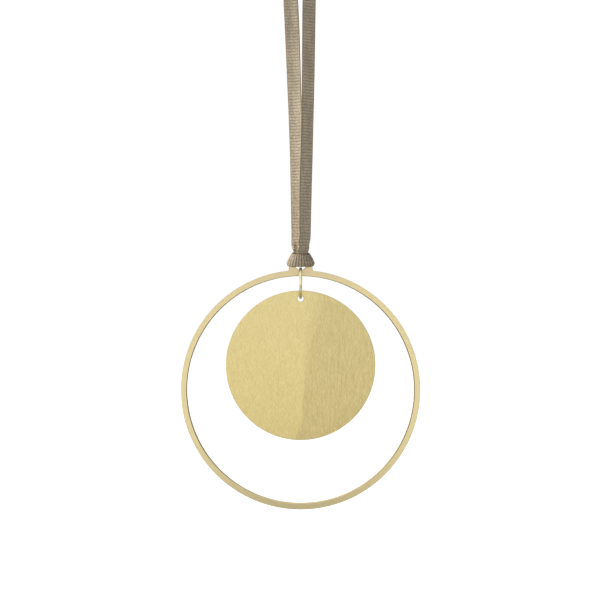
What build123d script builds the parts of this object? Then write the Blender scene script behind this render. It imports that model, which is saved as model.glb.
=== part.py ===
"""A hanging ornament: a flat brass ring with an eye at its top, and a flat brass disc that
hangs inside the ring from a round wire link. A woven ribbon is hitched round the eye, runs
up in two strands and closes in a loop that hangs on a peg.

Millimetres. +Z is up, +X is to the viewer's right and the front of the ornament faces -Y.
The origin is where the loop bears on its peg, so that everything hangs below it.
"""

import os
from math import cos, degrees, dist, pi, radians, sin, sqrt

from build123d import *

# Sheet brass, from which the ring and the disc are cut
sheet_thickness = 1.5
edge_break = 0.15

# Outer ring and its eye
ring_diameter = 80.0
ring_band = 2.0
eye_width = 8.0
eye_hole_diameter = 3.6
eye_root_fillet = 0.6

# Inner disc, whose hole is measured from the rim to its centre
disc_diameter = 50.0
disc_hole_diameter = 2.0
disc_hole_inset = 2.75

# Wire link
link_outer_diameter = 10.8
link_wire_diameter = 1.0
link_split = 0.1
seat_clearance = 0.05

# Ribbon
ribbon_width = 5.0
ribbon_thickness = 0.45
peg_diameter = 8.0
hang_length = 164.0
lap_length = 9.0
end_gap = 0.1

# Hitch of the ribbon round the eye: the band across the front, from its lower edge up to
# its shoulder, and then the strands gathered into a waist and spreading into a neck
hitch_clearance = 0.05
hitch_underside = 1.2
hitch_front_layers = 2
hitch_back_layers = 1
underside_width = 8.2
foot_width = 9.3
foot_rise = 0.9
shoulder_width = 6.2
shoulder_rise = 4.3
waist_width = 5.4
waist_depth = 2.0
waist_forward = 0.4
waist_rise = 5.0
neck_width = 6.4
neck_depth = 3.0
neck_forward = 0.6
neck_rise = 6.9

# Thread that closes the lap
thread_diameter = 0.25
stitch_length = 0.8
stitches_per_row = 4
stitch_row_share = 0.3
thread_clearance = 0.02

# Heights and radii that follow from the sizes above
peg_radius = peg_diameter / 2
loop_radius = peg_radius + ribbon_thickness / 2
lap_radius = peg_radius + ribbon_thickness
lap_half_angle = degrees(lap_length / 2 / lap_radius)
ring_height = -hang_length
ring_radius = ring_diameter / 2
ring_inner_radius = ring_radius - ring_band
eye_radius = eye_width / 2
eye_hole_radius = eye_hole_diameter / 2
eye_hole_bottom = ring_height + ring_radius
eye_height = eye_hole_bottom + eye_hole_radius
half_sheet = sheet_thickness / 2

# The link bears on the two edges of each sheet, a little off the top of its arc
link_radius = (link_outer_diameter - link_wire_diameter) / 2
link_inner_radius = link_radius - link_wire_diameter / 2
link_rise = link_inner_radius - sqrt(link_inner_radius**2 - half_sheet**2)
link_height = eye_hole_bottom + link_rise + seat_clearance - link_inner_radius
disc_hole_top = link_height - link_inner_radius + link_rise + seat_clearance
disc_hole_radius = disc_hole_diameter / 2
disc_hole_height = disc_hole_top - disc_hole_radius
disc_radius = disc_diameter / 2
disc_height = disc_hole_height + disc_hole_inset - disc_radius

# The hitch's levels and depths
hitch_bottom = eye_hole_bottom + hitch_underside
foot_height = hitch_bottom + foot_rise
shoulder_height = hitch_bottom + shoulder_rise
waist_height = hitch_bottom + waist_rise
neck_top = hitch_bottom + neck_rise
strand_end = neck_top + end_gap
hitch_front = half_sheet + hitch_clearance + hitch_front_layers * ribbon_thickness
hitch_back = half_sheet + hitch_clearance + hitch_back_layers * ribbon_thickness

# Each strand's route from the loop down to the neck: across, depth, height, and how far
# the ribbon's face is turned from the front, in degrees. The inner edges are in front.
left_route = [
    (-loop_radius, 0, -peg_radius, 90),
    (-4.10, 0.00, -10.0, 80),
    (-3.95, 0.00, -16.0, 63),
    (-3.80, 0.00, -22.0, 43),
    (-3.62, 0.00, -28.0, 25),
    (-3.39, 0.00, -34.0, 12),
    (-3.05, 0.00, -40.0, 10),
    (-2.62, 0.10, -50.0, 16),
    (-2.22, 0.20, -61.0, 24),
    (-1.75, 0.45, -73.0, 27),
    (-1.42, 0.65, -86.0, 28),
    (-1.15, 0.75, -98.0, 27),
    (-0.90, 0.65, -108.0, 22),
    (-0.75, 0.50, -113.0, 15),
    (-0.65, 0.40, strand_end, 10),
]
right_route = [
    (loop_radius, 0, -peg_radius, 90),
    (4.00, 0.00, -10.0, 82),
    (3.75, 0.00, -16.0, 69),
    (3.45, 0.00, -22.0, 53),
    (3.20, 0.00, -28.0, 39),
    (2.96, 0.00, -34.0, 28),
    (2.86, 0.00, -40.0, 29),
    (2.70, -0.05, -50.0, 31),
    (2.54, -0.15, -61.0, 34),
    (2.33, -0.50, -73.0, 37),
    (2.02, -0.80, -86.0, 36),
    (1.72, -0.95, -98.0, 35),
    (1.50, -1.00, -108.0, 35),
    (1.30, -1.00, -113.0, 34),
    (1.15, -1.00, strand_end, 30),
]

os.makedirs("parts", exist_ok=True)


def eye_outline(margin):
    """The eye's round top and straight sides, grown by a margin, down to the ring's band."""
    with Locations((0, eye_height)):
        Circle(eye_radius + margin)
        Rectangle(
            2 * (eye_radius + margin),
            eye_hole_radius + ring_band,
            align=(Align.CENTER, Align.MAX),
        )


def break_edges(piece):
    """Rounds off the edges of a sheet piece's front and back faces."""
    rims = piece.edges().group_by(Axis.Y)
    fillet(rims[0] + rims[-1], radius=edge_break)


def strip_planes(route, side):
    """The planes of a twisted strip's sections along a route. The left side is -1."""
    planes = []
    for across, depth, height, turn in route:
        along_width = (cos(radians(turn)), side * sin(radians(turn)), 0)
        planes.append(Plane((across, depth, height), x_dir=along_width, z_dir=(0, 0, 1)))
    return planes


# The ring: one flat blank with a round-topped eye and a hole through it
with BuildPart() as outer_ring:
    with BuildSketch(Plane.XZ) as blank:
        with Locations((0, ring_height)):
            Circle(ring_radius)
        eye_outline(0)
        roots = blank.vertices().filter_by_position(
            Axis.Y, ring_height + ring_inner_radius, eye_hole_bottom
        )
        fillet(roots, radius=eye_root_fillet)
        with Locations((0, ring_height)):
            Circle(ring_inner_radius, mode=Mode.SUBTRACT)
        with Locations((0, eye_height)):
            Circle(eye_hole_radius, mode=Mode.SUBTRACT)
    extrude(amount=half_sheet, both=True)
    break_edges(outer_ring)

# The disc, with one small hole near its rim
with BuildPart() as inner_disc:
    with BuildSketch(Plane.XZ):
        with Locations((0, disc_height)):
            Circle(disc_radius)
        with Locations((0, disc_hole_height)):
            Circle(disc_hole_radius, mode=Mode.SUBTRACT)
    extrude(amount=half_sheet, both=True)
    break_edges(inner_disc)

# The link: round wire bent into a ring, its two ends meeting at the back
with BuildPart() as link:
    with BuildSketch(Plane.XY.offset(link_height)):
        with Locations((0, link_radius)):
            Circle(link_wire_diameter / 2)
    revolve(
        axis=Axis((0, 0, link_height), (1, 0, 0)),
        revolution_arc=360 - degrees(link_split / link_radius),
    )

# The hitch: ribbon wrapped round the eye, through its hole, and gathered above it
with BuildPart() as ribbon_hitch:
    with BuildSketch(Plane.XZ.offset(-hitch_back)):
        with BuildLine():
            Polyline(
                (0, hitch_bottom),
                (underside_width / 2, hitch_bottom),
                (foot_width / 2, foot_height),
                (shoulder_width / 2, shoulder_height),
                (0, shoulder_height),
            )
            mirror(about=Plane.YZ)
        make_face()
    extrude(amount=hitch_front + hitch_back)
    with BuildSketch(Plane((0, (hitch_back - hitch_front) / 2, shoulder_height))):
        Rectangle(shoulder_width, hitch_front + hitch_back)
    with BuildSketch(Plane((0, -waist_forward, waist_height))):
        Rectangle(waist_width, waist_depth)
    with BuildSketch(Plane((0, -neck_forward, neck_top))):
        Rectangle(neck_width, neck_depth)
    loft(ruled=True)
    with BuildSketch(Plane.XZ):
        eye_outline(hitch_clearance)
    extrude(amount=half_sheet + hitch_clearance, both=True, mode=Mode.SUBTRACT)
    with BuildSketch(Plane.XZ):
        with Locations((0, eye_height)):
            Circle(eye_hole_radius - hitch_clearance)
        with Locations((0, hitch_bottom)):
            Rectangle(
                eye_width, eye_width, align=(Align.CENTER, Align.MAX), mode=Mode.SUBTRACT
            )
    extrude(amount=half_sheet + hitch_clearance, both=True)

# The two strands, which twist outwards on their way up to the peg
with BuildPart() as ribbon_left_strand:
    with BuildSketch(*strip_planes(left_route, -1)):
        Rectangle(ribbon_width, ribbon_thickness)
    loft(ruled=True)

with BuildPart() as ribbon_right_strand:
    with BuildSketch(*strip_planes(right_route, 1)):
        Rectangle(ribbon_width, ribbon_thickness)
    loft(ruled=True)

# The loop over the peg, with a second layer where the ribbon's ends are lapped
with BuildPart() as ribbon_loop:
    with BuildSketch(Plane.XZ):
        for inner_radius, half_angle in ((peg_radius, 90), (lap_radius, lap_half_angle)):
            outer_radius = inner_radius + ribbon_thickness
            with BuildLine():
                inner = CenterArc(
                    (0, -peg_radius), inner_radius, 90 - half_angle, 2 * half_angle
                )
                outer = CenterArc(
                    (0, -peg_radius), outer_radius, 90 - half_angle, 2 * half_angle
                )
                Line(inner @ 0, outer @ 0)
                Line(inner @ 1, outer @ 1)
            make_face()
    extrude(amount=ribbon_width / 2, both=True)

# Two rows of stitches across the lap
with BuildPart() as lap_stitches:
    stitch_radius = lap_radius + ribbon_thickness + thread_clearance + thread_diameter / 2
    row_angle = lap_length * stitch_row_share / lap_radius
    stitch_pitch = ribbon_width / stitches_per_row
    for number in range(stitches_per_row):
        stitch_start = (number + 1 / 2) * stitch_pitch - ribbon_width / 2 + stitch_length / 2
        with BuildSketch(Plane.XZ.offset(-stitch_start)):
            for angle in (-row_angle, row_angle):
                height = stitch_radius * cos(angle) - peg_radius
                with Locations((stitch_radius * sin(angle), height)):
                    Circle(thread_diameter / 2)
        extrude(amount=stitch_length)

pieces = {
    "outer_ring": outer_ring,
    "inner_disc": inner_disc,
    "link": link,
    "ribbon_hitch": ribbon_hitch,
    "ribbon_left_strand": ribbon_left_strand,
    "ribbon_right_strand": ribbon_right_strand,
    "ribbon_loop": ribbon_loop,
    "lap_stitches": lap_stitches,
}
for name, piece in pieces.items():
    piece.part.label = name
    export_step(piece.part, f"parts/{name}.step")

# The strands' volumes against their section times their length
for name, route in (("left", left_route), ("right", right_route)):
    middle = [point[:3] for point in route]
    run = sum(dist(a, b) for a, b in zip(middle, middle[1:]))
    volume = pieces[f"ribbon_{name}_strand"].part.volume
    expected = run * ribbon_width * ribbon_thickness
    print(f"{name} strand: {run:.1f} mm, volume {volume:.1f}, expected {expected:.1f}")
print(f"the ribbon bends round the peg at a radius of {loop_radius:.2f} mm")
print(f"over the peg it is {pi * loop_radius:.1f} mm long")
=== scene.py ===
# %% [markdown]
# # A brass ring and disc on a ribbon
#
# This lesson dresses a small hanging ornament. A flat ring and a flat disc are cut from pale
# brass sheet and brushed up and down. The disc hangs inside the ring from a round wire link,
# and a woven ribbon, hitched round the ring's eye, carries them both.
#
# The construction comes first: it is loaded as a fixed frame, in metres, with +Z up and the
# front of the ornament facing -Y. The origin is where the ribbon's loop bears on its peg.

from math import cos, pi, radians, sin

import bpy
import numpy as np
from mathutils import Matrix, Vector, noise


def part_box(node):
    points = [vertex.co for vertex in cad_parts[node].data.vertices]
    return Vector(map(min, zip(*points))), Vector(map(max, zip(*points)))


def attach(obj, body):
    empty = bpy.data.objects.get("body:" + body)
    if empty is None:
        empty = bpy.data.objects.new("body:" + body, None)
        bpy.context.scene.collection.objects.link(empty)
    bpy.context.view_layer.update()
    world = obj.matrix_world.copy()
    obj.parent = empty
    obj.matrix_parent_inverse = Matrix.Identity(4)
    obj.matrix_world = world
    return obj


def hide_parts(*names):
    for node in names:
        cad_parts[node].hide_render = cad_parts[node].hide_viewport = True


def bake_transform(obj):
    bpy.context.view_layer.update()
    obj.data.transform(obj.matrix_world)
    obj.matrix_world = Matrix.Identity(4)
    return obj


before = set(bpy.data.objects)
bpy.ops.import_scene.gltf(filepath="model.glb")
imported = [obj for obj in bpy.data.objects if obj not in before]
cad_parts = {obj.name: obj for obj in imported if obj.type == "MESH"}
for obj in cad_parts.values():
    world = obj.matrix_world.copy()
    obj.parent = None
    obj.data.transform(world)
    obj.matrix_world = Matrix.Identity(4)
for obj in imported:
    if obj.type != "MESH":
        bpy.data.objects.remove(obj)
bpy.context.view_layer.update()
mm = 0.001
print("nodes:", sorted(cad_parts))

# %% [markdown]
# ## Places read from the frame
#
# The ring's middle, its radius and the disc's middle come from the boxes of the loaded nodes,
# so that these places aren't typed a second time. The hitch, the finishes, the camera and the
# floor are placed from them. The rest of the ribbon, its stitches too, hangs from the peg and is
# measured from the origin.

# %% Places
ring_low, ring_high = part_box("outer_ring")
disc_low, disc_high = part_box("inner_disc")
ring_radius = (ring_high.x - ring_low.x) / 2
ring_height = ring_low.z + ring_radius
band_width = 2.0 * mm
disc_height = (disc_low.z + disc_high.z) / 2
print(f"ring: radius {ring_radius / mm:.1f} mm, middle at {ring_height / mm:.1f} mm")
print(f"disc: middle at {disc_height / mm:.1f} mm")

# %% [markdown]
# ## Camera
#
# The photograph is a close, level product shot. Its picture is as wide as 201 mm at the
# ornament, and the ring's middle sits 30 mm under the middle of the picture. The inner wall
# of the ring shows as a thin line, which puts the lens about 380 mm away.

# %% Camera
picture_width = 200.85 * mm
camera_distance = 380 * mm
camera_rise = 30 * mm
camera_left = 0.2 * mm

bpy.ops.object.camera_add(
    location=(-camera_left, -camera_distance, ring_height + camera_rise),
    rotation=(pi / 2, 0, 0),
)
camera = bpy.context.object
camera.data.lens = camera.data.sensor_width * camera_distance / picture_width
bpy.context.scene.camera = camera
print(f"lens: {camera.data.lens:.1f} mm")

# %% [markdown]
# ## Sums on sockets
#
# A finish is a small sum: a colour here, a little more roughness there. Python can write such
# a sum as an ordinary expression if a socket knows how to add and multiply. So one short class
# wraps a socket, and a second one makes every node by a single method.

# %% A socket in an expression
class Value:
    """A number or colour that varies over a surface."""

    def __init__(self, finish, socket):
        self.finish = finish
        self.socket = socket

    def sum(self, operation, first, second):
        inputs = {0: first, 1: second}
        return self.finish.node("ShaderNodeMath", {"operation": operation}, inputs)

    def __add__(self, other):
        return self.sum("ADD", self, other)

    def __sub__(self, other):
        return self.sum("SUBTRACT", self, other)

    def __mul__(self, other):
        return self.sum("MULTIPLY", self, other)

    def __pow__(self, other):
        return self.sum("POWER", self, other)

    def __rsub__(self, other):
        return self.sum("SUBTRACT", other, self)

    def size(self):
        """The value without its sign."""
        return self.sum("ABSOLUTE", self, 0.0)

    def at_least(self, other):
        return self.sum("MAXIMUM", self, other)

    __radd__ = __add__
    __rmul__ = __mul__


print("a socket can be added, subtracted, multiplied and raised to a power")


# %% A finish and its nodes
class Finish:
    """A material or a world, and the one method that adds nodes to it."""

    def __init__(self, owner):
        owner.use_nodes = True
        self.owner = owner
        self.tree = owner.node_tree

    def node(self, kind, settings, inputs, output=0):
        node = self.tree.nodes.new(kind)
        for name, value in settings.items():
            if name == "stops":
                elements = node.color_ramp.elements
                for place, colour in value[2:]:
                    elements.new(place)
                for element, (place, colour) in zip(elements, value):
                    element.position = place
                    element.color = colour
            else:
                setattr(node, name, value)
        self.connect(node, inputs)
        return Value(self, node.outputs[output])

    def connect(self, node, inputs):
        for name, value in inputs.items():
            if isinstance(value, Value):
                self.tree.links.new(value.socket, node.inputs[name])
            else:
                node.inputs[name].default_value = value

    def surface(self, inputs):
        self.connect(self.tree.nodes["Principled BSDF"], inputs)

    def place(self):
        """Where a point lies on the piece, in the piece's own coordinates."""
        return self.node("ShaderNodeTexCoord", {}, {}, output="Object")

    def axis(self, vector, name):
        return self.node("ShaderNodeSeparateXYZ", {}, {0: vector}, output=name)

    def blend(self, factor, first, second):
        """A mix of two colours, which a mix node has on inputs 6 and 7 and on output 2."""
        inputs = {0: factor, 6: first, 7: second}
        settings = {"data_type": "RGBA", "clamp_factor": True}
        return self.node("ShaderNodeMix", settings, inputs, output=2)

    def grain(self, place, scales, detail=2.0):
        """Noise whose grains are 1 / scale long along each axis."""
        settings = {"operation": "MULTIPLY"}
        scaled = self.node("ShaderNodeVectorMath", settings, {0: place, 1: scales})
        inputs = {"Vector": scaled, "Scale": 1.0, "Detail": detail}
        return self.node("ShaderNodeTexNoise", {}, inputs)

    def step(self, value, zero, one):
        """A smooth step from 0, where the value is zero's, to 1, where it is one's."""
        inputs = {"Value": value, "From Min": zero, "From Max": one}
        return self.node("ShaderNodeMapRange", {"interpolation_type": "SMOOTHSTEP"}, inputs)

    def bump(self, height, depth):
        inputs = {"Height": height, "Distance": depth, "Strength": 1.0}
        return self.node("ShaderNodeBump", {}, inputs)


def new_finish(name):
    return Finish(bpy.data.materials.new(name))


def mixed(patterns, shares):
    """Several patterns laid over one another, each by its share."""
    parts = [pattern * share for pattern, share in zip(patterns, shares)]
    return sum(parts[1:], parts[0])


print("a finish can:", [name for name in vars(Finish) if not name.startswith("_")])

# %% Colours
screen_foot = 0.055
screen_power = 2.4
glint_pulls = (1.0, 1.3, 2.0)


def linear(red, green, blue):
    """A colour as the eye reads it on screen, 0 to 255, as the renderer counts light."""
    shares = [channel / 255 for channel in (red, green, blue)]
    curved = [((share + screen_foot) / (1 + screen_foot)) ** screen_power for share in shares]
    return (*curved, 1.0)


def grey(level):
    return (level, level, level, 1.0)


def tinted(colour, share):
    """A colour made lighter or deeper, and never lighter than white."""
    return [min(1.0, channel * share) for channel in colour[:3]] + [1.0]


def scratch_or_glint(colour, share):
    """A brushed colour made deeper, or paler as a painted glint. Its blue changes most, because a
    glint is white.
    """
    return tinted([channel * (1 + share * pull) for channel, pull in zip(colour, glint_pulls)], 1)


print(f"half way to white on screen is {linear(128, 128, 128)[0]:.2f} of its light")

# %% [markdown]
# ## Background, floor and light
#
# The ornament hangs in front of pure white. The white is a background and not a lamp: the
# camera sees a strength a hair over 1, so that all of it stays pure white, and rays that light
# cloth see a softer level. Metal shows the room around it, so rays that it reflects see a white
# wall at eye height that dims towards the ceiling. The floor glows a little where it is seen,
# so that it looks white too, and it keeps the ornament's shadow.

# %% Room
white_level = 1.02
soft_level = 0.36
room_stops = [
    (0.50, grey(1.00)),
    (0.66, grey(0.97)),
    (0.85, grey(0.90)),
    (1.00, grey(0.85)),
]


def light_path(finish, name):
    return finish.node("ShaderNodeLightPath", {}, {}, output=name)


def shine_path(finish):
    """1 for the rays that metal reflects or glass lets through, and 0 for all others."""
    return light_path(finish, "Is Glossy Ray").at_least(light_path(finish, "Is Transmission Ray"))


world = bpy.data.worlds.new("white_studio")
bpy.context.scene.world = world
studio = Finish(world)
camera_ray = light_path(studio, "Is Camera Ray")
shine_ray = shine_path(studio)
direction = studio.node("ShaderNodeTexCoord", {}, {}, output="Generated")
upward = studio.axis(direction, "Z")
room = studio.node("ShaderNodeValToRGB", {"stops": room_stops}, {0: upward * 0.5 + 0.5})
indirect = shine_ray * room + (1 - shine_ray) * soft_level
level = camera_ray * white_level + (1 - camera_ray) * indirect
studio.connect(world.node_tree.nodes["Background"], {"Color": grey(1.0), "Strength": level})
print("room stops:", len(room_stops))

# %% Floor
floor_drop = 150 * mm
floor_size = 8.0
floor_shade = 0.55
floor_glow = 0.54
floor_height = ring_low.z - floor_drop

bpy.ops.mesh.primitive_plane_add(size=floor_size, location=(0, 0, floor_height))
floor = bpy.context.object
floor.name = "floor"
paper = new_finish("floor_paper")
seen_directly = light_path(paper, "Is Camera Ray").at_least(shine_path(paper))
paper.surface({"Base Color": grey(floor_shade), "Roughness": 1.0, "Specular IOR Level": 0.0})
paper.surface({"Emission Color": seen_directly * floor_glow, "Emission Strength": 1.0})
floor.data.materials.append(paper.owner)
print(f"floor: {floor_drop / mm:.0f} mm under the ring")

# %% [markdown]
# One broad sun, square to the left, models the cloth and is hidden from the metal. Two grey
# pieces show only in the metal. A round mat on the floor is dark right under the ornament, for
# its edges that face down, and dark again from about 40 to 75 cm out, which is what the foot of
# the ring mirrors. A long card, which stands on the right and reaches behind the ornament,
# gives the round wire its shaded side.

# %% Sun
sun_strength = 4.6
sun_spread = 40
sun_height = 35
sun_left = 92

bpy.ops.object.light_add(type="SUN", rotation=(radians(90 - sun_height), 0, radians(-sun_left)))
sun = bpy.context.object
sun.data.energy = sun_strength
sun.data.angle = radians(sun_spread)
sun.visible_glossy = False
print(f"sun: {sun_height} degrees up, {sun_left} degrees round to the left")

# %% Mat and card
mat_radius = 0.95
mat_sides = 96
mat_lift = 1 * mm
mat_stops = [
    (0.00, grey(0.35)),
    (0.14, grey(0.35)),
    (0.25, grey(0.90)),
    (0.36, grey(0.90)),
    (0.42, grey(0.18)),
    (0.77, grey(0.12)),
    (0.895, grey(0.90)),
]
card_place = (0.45, 0.65, ring_height + camera_rise)
card_height = 1.0
card_length = 2.0
card_shade = 0.40


def reflected_only(obj, paint, shade):
    """Paints a stage piece a grey that only shows in reflections."""
    paint.surface({"Base Color": grey(0.0), "Roughness": 1.0, "Specular IOR Level": 0.0})
    paint.surface({"Emission Color": shade, "Emission Strength": 1.0})
    obj.data.materials.append(paint.owner)
    obj.visible_camera = False
    obj.visible_diffuse = False
    obj.visible_shadow = False


mat_place = (0, 0, floor_height + mat_lift)
bpy.ops.mesh.primitive_circle_add(
    vertices=mat_sides, radius=mat_radius, fill_type="NGON", location=mat_place
)
mat = bpy.context.object
mat.name = "dark_mat"
mat_paint = new_finish("mat_paint")
from_middle = mat_paint.node(
    "ShaderNodeVectorMath", {"operation": "LENGTH"}, {0: mat_paint.place()}, output="Value"
)
outward_share = from_middle * (1 / mat_radius)
mat_tone = mat_paint.node("ShaderNodeValToRGB", {"stops": mat_stops}, {0: outward_share})
reflected_only(mat, mat_paint, mat_tone)

bpy.ops.mesh.primitive_plane_add(size=1, location=card_place, rotation=(0, pi / 2, 0))
card = bpy.context.object
card.name = "dark_card"
card.scale = (card_height, card_length, 1)
reflected_only(card, new_finish("card_paint"), grey(card_shade))
print("only in reflections:", mat.name, "and", card.name)

# %% [markdown]
# ## The ribbon's route
#
# The ribbon is a flat cord, so it is described by its two edges. Each strand has a list
# of points down its middle, with how far its face is turned from the front and how wide
# it lies there. The inner edges lean forward. Low down the strands pass in front of the eye and
# into its hole, gathered, and at the top they turn edge on and close over the peg. There the
# left strand's end lies against the peg, and the right strand's end is lapped over it.
#
# Each edge is a NURBS spline that uses those places as control points, and the mesh follows
# points that are read back from the splines.

# %% Route of the two strands, in millimetres
ribbon_width = 5.0
left_route = [
    (-4.225, 0.00, -4.0, 90, 5.0),
    (-4.10, 0.00, -10.0, 80, 5.0),
    (-3.92, 0.00, -16.0, 63, 5.0),
    (-3.71, 0.00, -22.0, 43, 5.0),
    (-3.53, 0.00, -28.0, 25, 5.0),
    (-3.30, 0.00, -34.0, 12, 5.0),
    (-2.96, 0.00, -40.0, 10, 5.0),
    (-2.58, 0.10, -50.0, 16, 5.0),
    (-2.20, 0.20, -61.0, 24, 5.0),
    (-1.72, 0.45, -73.0, 27, 5.0),
    (-1.33, 0.65, -86.0, 28, 5.0),
    (-1.06, 0.75, -98.0, 27, 5.0),
    (-0.81, 0.65, -108.0, 22, 5.0),
    (-0.63, 0.50, -113.0, 15, 5.0),
    (-0.94, -0.10, -116.2, 8, 4.6),
    (-0.55, -1.17, -117.9, 3, 3.6),
    (-0.80, -1.20, -119.5, 0, 2.8),
    (-0.80, -1.15, -121.2, 0, 1.3),
    (-0.86, -0.10, -122.1, 0, 1.3),
]
right_route = [
    (4.45, 0.00, -4.0, 90, 5.0),
    (4.05, 0.00, -10.0, 82, 5.0),
    (3.72, 0.00, -16.0, 69, 5.0),
    (3.35, 0.00, -22.0, 53, 5.0),
    (3.10, 0.00, -28.0, 39, 5.0),
    (2.86, 0.00, -34.0, 28, 5.0),
    (2.76, 0.00, -40.0, 29, 5.0),
    (2.66, -0.05, -50.0, 31, 5.0),
    (2.54, -0.15, -61.0, 34, 5.0),
    (2.31, -0.50, -73.0, 37, 5.0),
    (1.97, -0.95, -86.0, 36, 5.0),
    (1.62, -1.20, -98.0, 35, 5.0),
    (1.50, -1.35, -108.0, 40, 5.0),
    (1.50, -1.45, -113.0, 43, 5.0),
    (1.18, -1.60, -116.2, 35, 4.7),
    (0.72, -1.80, -117.9, 14, 3.8),
    (0.60, -1.76, -119.5, 4, 2.6),
    (0.85, -1.55, -121.2, 0, 1.4),
    (0.86, -0.40, -122.1, 0, 1.3),
]
peg_bend = [
    (-4.22, -2.87),
    (-3.09, -0.91),
    (-1.13, 0.22),
    (1.13, 0.22),
    (3.02, -0.87),
    (3.58, -1.76),
]
lap_bend = [
    (-4.01, -1.50),
    (-3.39, -0.50),
    (-1.27, 0.74),
    (1.27, 0.74),
    (3.46, -0.54),
    (4.60, -2.60),
]


def strand_edges(route, side):
    """A strand's inner and outer edge, as control points. The left side is -1."""
    inner = []
    outer = []
    for across, depth, height, turn, width in route:
        middle = Vector((across, depth, height))
        reach = Vector((side * cos(radians(turn)), sin(radians(turn)), 0)) * width / 2
        outer.append(middle + reach)
        inner.append(middle - reach)
    return inner, outer


def bend_edges(bend):
    """The front and back edge of a stretch that lies square over the peg."""
    front = [Vector((across, -ribbon_width / 2, height)) for across, height in bend]
    back = [Vector((across, ribbon_width / 2, height)) for across, height in bend]
    return front, back


left_inner, left_outer = strand_edges(left_route, -1)
right_inner, right_outer = strand_edges(right_route, 1)
peg_front, peg_back = bend_edges(peg_bend)
lap_front, lap_back = bend_edges(lap_bend)
print("control points:", len(left_route) + len(peg_bend), "and", len(right_route) + len(lap_bend))


# %% Read points back from a spline
def spline_points(places, steps=24):
    """Points along a NURBS spline through given control points, in metres."""
    curve = bpy.data.curves.new("route", "CURVE")
    curve.dimensions = "3D"
    spline = curve.splines.new("NURBS")
    spline.points.add(len(places) - 1)
    for point, place in zip(spline.points, places):
        point.co = (*(Vector(place) * mm), 1)
    spline.order_u = 3
    spline.use_endpoint_u = True
    spline.resolution_u = steps
    carrier = bpy.data.objects.new("route", curve)
    mesh = bpy.data.meshes.new_from_object(carrier)
    points = np.array([vertex.co for vertex in mesh.vertices])
    bpy.data.objects.remove(carrier)
    bpy.data.curves.remove(curve)
    bpy.data.meshes.remove(mesh)
    return points


def along(points):
    """How far each point is from the first, measured along the line."""
    steps = np.linalg.norm(np.diff(points, axis=0), axis=1)
    return np.concatenate([[0.0], np.cumsum(steps)])


def evenly(points, travelled, stops):
    """The places on a line that are as far along it as the stops say."""
    return np.stack([np.interp(stops, travelled, points[:, axis]) for axis in range(3)], axis=1)


def unit(vectors):
    """The same directions, each of length 1."""
    return vectors / np.linalg.norm(vectors, axis=1)[:, None]


print(f"left strand, outer edge: {along(spline_points(left_outer))[-1] / mm:.1f} mm")

# %% [markdown]
# ## Weaving the ribbon
#
# Grosgrain is woven over thick cords that run from edge to edge, one to each millimetre here.
# They are large enough to see, so they are geometry: the strip swells over each cord and
# pinches between two, the selvedge bulges where a cord turns back, and no two ribs are quite
# alike. The fine warp threads that cover the cords are left to the material, which finds its
# place on the cloth from an attribute that is written with the mesh.

# %% Ribs
rib_pitch = 1.0 * mm
packed_pitch = 0.83 * mm
steps_per_rib = 8
rib_thickness = 0.46 * mm
groove_thickness = 0.29 * mm
packed_groove = 0.16 * mm
selvedge_scallop = 0.10 * mm
uneven_share = 0.18


def rib_profile(phase, groove):
    """Half the strip's thickness at each row, and how far its edges draw in there."""
    chance = np.random.default_rng(len(phase))
    uneven = 1 + uneven_share * chance.uniform(-1, 1, (int(phase[-1]) + 2, 2))
    rib_number = phase.astype(int)
    beside = np.abs((phase % 1) * 2 - 1)
    swell = np.sqrt(1 - beside**2)
    half_thickness = (groove + (rib_thickness - groove) * swell * uneven[rib_number, 0]) / 2
    scallop = (swell * uneven[rib_number, 1] - 1) * selvedge_scallop
    return half_thickness, scallop


print(f"ribs: {rib_pitch / mm:.2f} mm apart, and {packed_pitch / mm:.2f} mm on the hitch")

# %% A woven strip between two edges
rib_bow = 0.10 * mm
mean_square = 1 / 3
edge_thinning = 0.8
edge_squareness = 16
half_shares = (0.12, 0.36, 0.58, 0.76, 0.88, 0.95, 0.985, 1)
across_shares = [-share for share in reversed(half_shares)] + list(half_shares)


def strip_faces(rows, around):
    """Quads that wrap a strip of rows and close its two ends."""
    corners = np.arange(rows * around).reshape(rows, around)
    following = np.roll(corners, -1, axis=1)
    sides = np.stack([corners[:-1], following[:-1], following[1:], corners[1:]], axis=2)
    faces = sides.reshape(-1, 4).tolist()
    for end in (corners[0], corners[-1]):
        for number in range(around // 2 - 1):
            last = around - 1 - number
            faces.append([end[number], end[number + 1], end[last - 1], end[last]])
    return faces


def woven_strip(near_places, far_places, relief, pitch=rib_pitch, groove=groove_thickness):
    """Points, faces and thread places of a strip of grosgrain, and the line down its middle."""
    near = spline_points(near_places)
    far = spline_points(far_places)
    travelled = along((near + far) / 2)
    rows = int(travelled[-1] / pitch * steps_per_rib)
    stops = np.linspace(0, travelled[-1], rows)
    near = evenly(near, travelled, stops)
    far = evenly(far, travelled, stops)
    middle = (near + far) / 2
    ahead = unit(np.gradient(middle, axis=0))
    facing = unit(np.cross(ahead, far - near))
    outward = unit(far - near)
    phase = stops / pitch
    half_thickness, scallop = rib_profile(phase, groove)

    loop = []
    weave = []
    for side, order in ((1, across_shares), (-1, across_shares[::-1])):
        for share in order:
            fullness = np.sqrt(1 - edge_thinning * abs(share) ** edge_squareness)
            row = middle + share * (far - near) / 2 + share * scallop[:, None] * outward
            row = row + ahead * rib_bow * (share**2 - mean_square)
            lift = side * half_thickness * fullness + relief(row, share)
            loop.append(row + facing * lift[:, None])
            weave.append(np.stack([np.full(rows, share / 2), phase, np.full(rows, side)], 1))
    points = np.stack(loop, axis=1)
    weave = np.stack(weave, axis=1)
    faces = strip_faces(rows, points.shape[1])
    return points.reshape(-1, 3), faces, weave.reshape(-1, 3), middle


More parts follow.
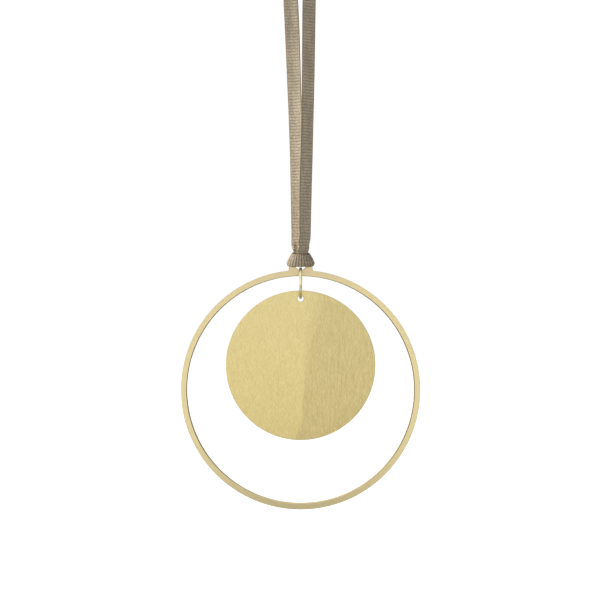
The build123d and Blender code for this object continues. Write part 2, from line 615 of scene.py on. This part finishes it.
print("points round the strip:", 2 * len(across_shares))


# %% A piece made of strips
def only(obj):
    """Selects one object and makes it the active one."""
    bpy.ops.object.select_all(action="DESELECT")
    obj.select_set(True)
    bpy.context.view_layer.objects.active = obj


def tidy_mesh(obj):
    """Turns all faces outwards and shades the piece smooth."""
    only(obj)
    bpy.ops.object.mode_set(mode="EDIT")
    bpy.ops.mesh.select_all(action="SELECT")
    bpy.ops.mesh.normals_make_consistent(inside=False)
    bpy.ops.object.mode_set(mode="OBJECT")
    bpy.ops.object.shade_smooth()


def make_piece(name, strips):
    """One mesh of one or more strips, with the places of their threads."""
    points = []
    faces = []
    weave = []
    for strip_points, strip_corners, strip_weave, _ in strips:
        first = len(points)
        points.extend(strip_points.tolist())
        faces.extend([[corner + first for corner in face] for face in strip_corners])
        weave.extend(strip_weave.tolist())
    mesh = bpy.data.meshes.new(name)
    mesh.from_pydata(points, [], faces)
    attribute = mesh.attributes.new("weave", "FLOAT_VECTOR", "POINT")
    attribute.data.foreach_set("vector", np.array(weave, dtype=np.float32).ravel())
    piece = bpy.data.objects.new(name, mesh)
    bpy.context.collection.objects.link(piece)
    tidy_mesh(piece)
    print(f"{name}: {len(faces)} faces")
    return piece


# %% [markdown]
# ## Cupping and crumpling
#
# A narrow ribbon never hangs quite flat. Its edges curl a little towards the side that was
# inside on the reel. And where the hitch squeezes a ribbon that is wider than its space, the
# spare width goes into small folds that run along the ribbon and die away above and below.

# %% Shape of the strip across its width
cup_depth = 0.32 * mm
flat_below = -116 * mm
cupped_from = -106 * mm
cupped_to = -26 * mm
flat_above = -10 * mm
waist_height = -116.2 * mm
waist_reach = 1.7 * mm
fold_depth = 0.8 * mm
fold_size = (0.9 * mm, 1.6 * mm, 3.2 * mm)
faintest_fold = 0.02


def smooth(values, low, high):
    """0 below low, 1 above high, and a smooth step between them."""
    share = np.clip((values - low) / (high - low), 0, 1)
    return share * share * (3 - 2 * share)


def folds(row, depth):
    """Small folds near the waist of the hitch, along one row of points."""
    nearness = np.exp(-(((row[:, 2] - waist_height) / waist_reach) ** 2))
    push = np.zeros(len(row))
    for number in np.flatnonzero(nearness > faintest_fold):
        spot = Vector([value / size for value, size in zip(row[number], fold_size)])
        push[number] = noise.noise(spot) * depth * nearness[number]
    return push


def hanging_relief(row, share):
    """How far a row of the hanging ribbon is pushed towards its face."""
    height = row[:, 2]
    free = smooth(height, flat_below, cupped_from) * (1 - smooth(height, cupped_to, flat_above))
    return cup_depth * (share**2 - 1) * free + folds(row, fold_depth)


print(f"cup: {cup_depth / mm:.2f} mm deep, folds: up to {fold_depth / mm:.1f} mm")

# %% The hanging ribbon
left_strip = woven_strip(left_inner[::-1] + peg_front, left_outer[::-1] + peg_back, hanging_relief)
right_strip = woven_strip(lap_front + right_inner, lap_back + right_outer, hanging_relief)
ribbon = make_piece("ribbon", [left_strip, right_strip])

# %% [markdown]
# The line down the ribbon is its length. It goes up the left strand and down the right one.
# Over the peg it changes from one strip to the other.

# %% [markdown]
# ## The hitch
#
# The ribbon is tied with a cow hitch. Its middle crosses the front of the eye as a band, and
# each end of the band goes over the eye's shoulder, down its back and forward through its
# hole, where it becomes a strand. The band's upper edge is pulled tight round the two strands
# and its lower edge spreads, so its ribs fan out like a skirt, and they are packed closer than
# on the strands. As before, the two edges are splines with listed control points, on the
# left, and the right half mirrors them.

# %% Route of the hitch, measured from the ring's middle, in millimetres
lower_edge = [
    (-1.30, -0.20, 41.65),
    (-1.45, 0.95, 41.55),
    (-2.60, 1.35, 41.60),
    (-3.95, 1.35, 41.80),
    (-4.66, 0.92, 42.20),
    (-4.62, -0.60, 42.10),
    (-4.30, -1.40, 41.20),
    (-2.80, -2.25, 41.02),
    (-0.95, -2.70, 41.00),
]
upper_edge = [
    (-0.25, -0.20, 43.20),
    (-0.20, 0.95, 43.30),
    (-0.50, 1.35, 44.30),
    (-1.30, 1.35, 45.50),
    (-2.30, 1.14, 46.00),
    (-2.80, -0.40, 45.70),
    (-2.60, -1.35, 45.40),
    (-1.72, -2.28, 45.30),
    (-0.60, -2.56, 45.40),
]
hitch_bulge = 0.15 * mm
hitch_fold_depth = 0.3 * fold_depth


def both_halves(places):
    """The left half's places, lifted to the ring's height, and their mirror image."""
    lift = Vector((0, 0, ring_height / mm))
    left = [Vector(place) + lift for place in places]
    right = [Vector((-place.x, place.y, place.z)) for place in reversed(left)]
    return left + right


def hitch_relief(row, share):
    """How far a row of the band is pushed outwards."""
    return hitch_bulge * (1 - share**2) + folds(row, hitch_fold_depth)


hitch_strip = woven_strip(
    both_halves(lower_edge), both_halves(upper_edge), hitch_relief, packed_pitch, packed_groove
)
hitch = make_piece("ribbon_hitch_band", [hitch_strip])
print(f"hitch: {along(hitch_strip[3])[-1] / mm:.0f} mm of ribbon round the eye")

# %% [markdown]
# ## The stitches
#
# Two rows of stitches in matching thread hold the lap. Sewing thread is two plies twisted
# together, so one stitch starts as two small discs side by side. They are extruded in steps,
# and every step is turned a little further, which lays one ply round the other. The length is
# then bent into a low arch, so that both its ends dip into the cloth, and copied along the rows.

# %% One stitch
ply_radius = 0.08 * mm
ply_sides = 8
stitch_length = 1.1 * mm
stitch_steps = 14
twist_per_step = 36
stitch_bend = 95


def two_discs(height):
    """Two discs side by side, as one object."""
    bpy.ops.object.select_all(action="DESELECT")
    discs = []
    for side in (-1, 1):
        middle = (side * ply_radius, 0, height)
        bpy.ops.mesh.primitive_circle_add(
            vertices=ply_sides, radius=ply_radius, fill_type="NGON", location=middle
        )
        discs.append(bpy.context.object)
    for disc in discs:
        disc.select_set(True)
    bpy.ops.object.join()
    bpy.ops.object.transform_apply()
    return bpy.context.object


def make_stitch():
    """A short arch of two-ply thread. Its crown is at the origin and it runs along Y."""
    foot = -stitch_length / 2
    step = stitch_length / stitch_steps
    stitch = two_discs(foot)
    bpy.ops.object.mode_set(mode="EDIT")
    bpy.ops.mesh.select_all(action="SELECT")
    for number in range(1, stitch_steps + 1):
        bpy.ops.mesh.extrude_region_move(TRANSFORM_OT_translate={"value": (0, 0, step)})
        reached = (0, 0, foot + number * step)
        bpy.ops.transform.rotate(
            value=radians(twist_per_step), orient_axis="Z", center_override=reached
        )
    bpy.ops.object.mode_set(mode="OBJECT")
    bend = stitch.modifiers.new("bend", "SIMPLE_DEFORM")
    bend.deform_method = "BEND"
    bend.deform_axis = "X"
    bend.angle = radians(stitch_bend)
    bpy.ops.object.modifier_apply(modifier="bend")
    stitch.rotation_euler = (-pi / 2, 0, 0)
    bpy.ops.object.transform_apply()
    return stitch


first_stitch = make_stitch()
print("one stitch:", len(first_stitch.data.polygons), "faces")

# %% Two rows of stitches
stitches_per_row = 4
row_turn = 35
peg_middle = Vector((0, 0, -4.0 * mm))
crown_height = 5.08 * mm
stitch_pitch = ribbon_width * mm / stitches_per_row

copies = []
for turn in (-row_turn, row_turn):
    outwards = Vector((sin(radians(turn)), 0, cos(radians(turn))))
    for number in range(stitches_per_row):
        across = (number + 0.5) * stitch_pitch - ribbon_width * mm / 2
        only(first_stitch)
        bpy.ops.object.duplicate()
        copy = bpy.context.object
        copy.location = peg_middle + outwards * crown_height + Vector((0, across, 0))
        copy.rotation_euler = (0, radians(turn), 0)
        bpy.ops.object.transform_apply()
        copies.append(copy)
bpy.data.objects.remove(first_stitch)
stitches = copies[0]
stitches.name = "lap_thread"
only(stitches)
for copy in copies[1:]:
    copy.select_set(True)
bpy.ops.object.join()
tidy_mesh(stitches)
print("stitches:", 2 * stitches_per_row, "faces:", len(stitches.data.polygons))

# %% [markdown]
# ## Finishes
#
# Brushed sheet is a field of fine scratches that all run one way, up and down here. Most are
# about a millimetre long, and some run on for half a centimetre. They scatter light sideways
# and hardly at all along their length, which is what the shader calls anisotropic.
#
# The disc was brushed in two passes that meet on a nearly upright line. The second one, on the
# right, has longer scratches, and it is painted darker, as painted shade for its change of sheen.
# The line curves, and it turns off to the left just above the foot. The disc is also painted a
# little paler towards its top, as painted light.
#
# The blanks' cut edges are not brushed, so they are duller and brown. The edge inside the ring is
# painted dark brown along its top and sides, as painted shade, and it fades back to brass towards
# the ring's foot, where light from above falls on it. The eye is painted duller than the band,
# as the painted shadow of the hitch.

# %% Marks of the brush
short_scratches = (9000, 9000, 850)
long_scratches = (9000, 9000, 190)
hairlines = (9000, 9000, 1600)
smudges = (90, 90, 60)
first_pass_shares = (0.60, 0.18, 0.22)
second_pass_shares = (0.44, 0.34, 0.22)
second_pass_strength = 1.65
tone_range = 0.14
pass_lean = 0.108
pass_curve = 2.57
pass_place = 1.70 * mm
pass_turn = 18.5 * mm
pass_turn_lean = 0.40
pass_fade = 0.15
pass_soft = 1.5 * mm
pass_sharp = 0.5 * mm


def past_the_line(finish, across, above):
    """0 in the first pass, 1 in the second, and a step that is softer towards the top."""
    turned = (above * -1 - pass_turn).at_least(0.0) * pass_turn_lean
    past = across - above * pass_lean - above * above * pass_curve - pass_place + turned
    soft = (above * pass_fade + pass_soft).at_least(pass_sharp)
    return finish.step(past, soft * -1, soft)


print(f"passes meet {pass_place / mm:.1f} mm to the right of the disc's middle")

# %% Brushed brass
scratch_depth = 0.0007 * mm
brushing = 0.8
sheet_roughness = 0.24
scratch_roughness = 0.08
smudge_roughness = 0.06
cut_roughness = 0.6
cut_gloss = 0.1
cut_colour = linear(182, 160, 112)
cut_from = ring_high.y - 0.13 * mm
cut_full = ring_high.y - 0.17 * mm
inner_shade_from = ring_radius - band_width + 0.23 * mm
inner_shade_full = ring_radius - band_width + 0.15 * mm
inner_shade_tone = 0.09
inner_shade_gone_below = ring_height - 38 * mm
inner_shade_full_above = ring_height - 14 * mm
eye_shade_from = ring_height + 33 * mm
eye_shade_full = ring_height + 40 * mm
eye_shade_colour = linear(218, 201, 157)


def brushed_brass(name, colour, contrast, second_pass=1.0, painted_paler_up=0.0, shaded_inner_edge=False):
    """Sheet with upright scratches and, where asked, a second pass painted darker, a top painted
    paler, or an inner edge and eye with painted shade.
    """
    finish = new_finish(name)
    place = finish.place()
    across, depth, height = (finish.axis(place, axis) for axis in "XYZ")
    short = finish.grain(place, short_scratches, detail=1.0)
    long = finish.grain(place, long_scratches, detail=1.0)
    fine = finish.grain(place, hairlines, detail=2.0)
    cloud = finish.grain(place, smudges)
    above = height - disc_height

    # The scratches run from deeper brass to paler brass; the paler end is painted glints.
    def brushed(shares, middle, strength):
        tone = mixed((short, long, fine), shares)
        # Above the disc's middle the tone is pushed paler, as painted light.
        spread = (tone - 0.5) * strength + 0.5 + above * painted_paler_up
        return finish.blend(spread, scratch_or_glint(middle, -tone_range), scratch_or_glint(middle, tone_range))

    face = brushed(first_pass_shares, colour, contrast)
    if second_pass < 1:
        # The second pass is painted darker, as painted shade for its change of sheen.
        darker = tinted(colour, second_pass)
        other = brushed(second_pass_shares, darker, contrast * second_pass_strength)
        face = finish.blend(past_the_line(finish, across, above), face, other)
    if shaded_inner_edge:
        # Painted shade: the inner edge is darkened along the ring's top and sides and fades out
        # towards its foot.
        rise = height - ring_height
        from_axis = (across * across + rise * rise) ** 0.5
        inside = finish.step(from_axis, inner_shade_from, inner_shade_full)
        shade_above_foot = finish.step(height, inner_shade_gone_below, inner_shade_full_above)
        face = finish.blend(inside * shade_above_foot, face, tinted(colour, inner_shade_tone))
        # Painted shadow: the eye, under the hitch, is darker than the band.
        face = finish.blend(finish.step(height, eye_shade_from, eye_shade_full), face, eye_shade_colour)
    cut = finish.step(depth.size(), cut_from, cut_full)
    dulled = cut * cut_roughness + fine * scratch_roughness + cloud * smudge_roughness
    finish.surface(
        {
            "Base Color": finish.blend(cut, face, cut_colour),
            "Metallic": 1.0 - cut,
            "Roughness": dulled + sheet_roughness,
            "Specular IOR Level": cut_gloss,
            "Anisotropic": brushing,
            "Normal": finish.bump(fine, scratch_depth * contrast),
        }
    )
    return finish.owner


# The ring's inner edge and its eye carry painted shade.
ring_brass = brushed_brass("ring_brass", linear(226, 210, 160), 0.3, shaded_inner_edge=True)
# The disc's second pass is painted darker and its top painted paler.
disc_brass = brushed_brass("disc_brass", linear(220, 202, 142), 3.0, second_pass=0.86, painted_paler_up=7.0)
print("sheet finishes:", ring_brass.name, "and", disc_brass.name)

# %% Drawn wire
wire_grain = (2500, 2500, 2500)
wire_dark = 0.88
wire_roughness = 0.25
wire_wear = 0.1


def drawn_brass(name, colour):
    """Round wire, pulled through a die and softly polished."""
    finish = new_finish(name)
    grain = finish.grain(finish.place(), wire_grain)
    finish.surface(
        {
            "Base Color": finish.blend(grain, tinted(colour, wire_dark), colour),
            "Metallic": 1.0,
            "Roughness": grain * wire_wear + wire_roughness,
        }
    )
    return finish.owner


wire_brass = drawn_brass("wire_brass", linear(255, 243, 194))
print("wire finish:", wire_brass.name)

# %% [markdown]
# The cloth's finish reads the attribute that the weave wrote: how far across, which rib, and
# where on the rib. The grooves between ribs are darkened as painted shade, the selvedges are
# a browner tint deepened as painted shade, and the yarn is flecked at the scale of its threads.
# The hitch has a finish of its own, which is painted darker and has more painted shade in its
# grooves, for the shade of the knot.

# %% Grosgrain
warp_threads = 34
speckles = (warp_threads, 1.3, 1.0)
flecks = (11.0, 1.7, 1.0)
drifts = (3.0, 0.12, 1.0)
yarn_shares = (0.3, 0.5, 0.2)
yarn_contrast = 4.6
yarn_dark = 0.68
yarn_pale = 1.32
groove_shade_from = 0.45
groove_shade_full = 1.0
groove_shade_colour = linear(108, 92, 70)
selvedge_from = 0.43
selvedge_full = 0.475
selvedge_share = 0.85
selvedge_tint_and_shade = linear(138, 115, 84)
thread_share = 0.5
thread_depth = 0.04 * mm


def grosgrain(name, colour, groove_shade_share):
    """Ribs from edge to edge, covered by fine warp threads, with painted shade in the grooves and
    along the selvedges.
    """
    finish = new_finish(name)
    weave = finish.node("ShaderNodeAttribute", {"attribute_name": "weave"}, {}, output="Vector")
    across = finish.axis(weave, "X")
    rib = finish.axis(weave, "Y")
    beside = rib.sum("FRACT", rib, 0.0) * 2 - 1
    # Painted shade: the grooves between ribs are darkened.
    groove = finish.step(beside.size(), groove_shade_from, groove_shade_full)
    thread = across.sum("SINE", across * (warp_threads * 2 * pi), 0.0)
    speckle, fleck, drift = (
        finish.grain(weave, scales, detail=1.0) for scales in (speckles, flecks, drifts)
    )
    tone = mixed((speckle, fleck, drift), yarn_shares)
    spread = (tone - 0.5) * yarn_contrast + 0.5
    cloth = finish.blend(spread, tinted(colour, yarn_dark), tinted(colour, yarn_pale))
    selvedge = finish.step(across.size(), selvedge_from, selvedge_full)
    # The selvedge's brown is partly its own tint and partly painted shade along the edges.
    edged = finish.blend(selvedge * selvedge_share, cloth, selvedge_tint_and_shade)
    finish.surface(
        {
            "Base Color": finish.blend(groove * groove_shade_share, edged, groove_shade_colour),
            "Roughness": 0.78,
            "Specular IOR Level": 0.25,
            "Sheen Weight": 0.15,
            "Sheen Roughness": 0.5,
            "Normal": finish.bump(thread * thread_share + speckle, thread_depth),
        }
    )
    return finish.owner


taupe = grosgrain("taupe_grosgrain", linear(203, 188, 162), 0.5)
# The hitch's cloth is painted darker, with more painted shade in its grooves, for the shade of the
# knot.
shaded_hitch_taupe = grosgrain("shaded_hitch_grosgrain", linear(193, 177, 152), 0.95)
print("cloth finishes:", taupe.name, "and", shaded_hitch_taupe.name)

# %% Sewing thread
fibres = (9000, 9000, 9000)
fibre_shade = 0.6


def sewing_thread(name, colour):
    """Dull twisted thread, with painted shade between its fibres."""
    finish = new_finish(name)
    fibre = finish.grain(finish.place(), fibres)
    finish.surface(
        {
            "Base Color": finish.blend(fibre, tinted(colour, fibre_shade), colour),
            "Roughness": 0.7,
            "Specular IOR Level": 0.3,
            "Normal": finish.bump(fibre, thread_depth),
        }
    )
    return finish.owner


matching_thread = sewing_thread("matching_thread", linear(170, 156, 134))
print("thread finish:", matching_thread.name)

# %% [markdown]
# ## Bodies
#
# Every piece gets its finish. The band of the hitch rides on the ring's body and the stitches
# on the root's. The hanging ribbon crosses the joint between its loop and the ring, and it is
# left unattached, with its place baked into its points.

# %% Finishes
for node, finish in (
    ("outer_ring", ring_brass),
    ("inner_disc", disc_brass),
    ("link", wire_brass),
):
    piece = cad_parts[node]
    piece.data.materials.clear()
    piece.data.materials.append(finish)

for piece, finish, slot in (
    (ribbon, taupe, "ribbon"),
    (hitch, shaded_hitch_taupe, "ribbon"),
    (stitches, matching_thread, "thread"),
):
    piece.data.materials.clear()
    piece.data.materials.append(finish)
    print(f"{piece.name}: {finish.name}")

# %% Bodies and the cord
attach(hitch, "ring")
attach(stitches, "root")
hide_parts("ribbon_hitch")
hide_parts("lap_stitches")
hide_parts("ribbon_left_strand", "ribbon_right_strand", "ribbon_loop")
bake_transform(ribbon)

# %% [markdown]
# ## The view
#
# The view's transform stays plain, so that a colour renders about as it is written.

# %% View transform
bpy.context.scene.view_settings.view_transform = "Standard"
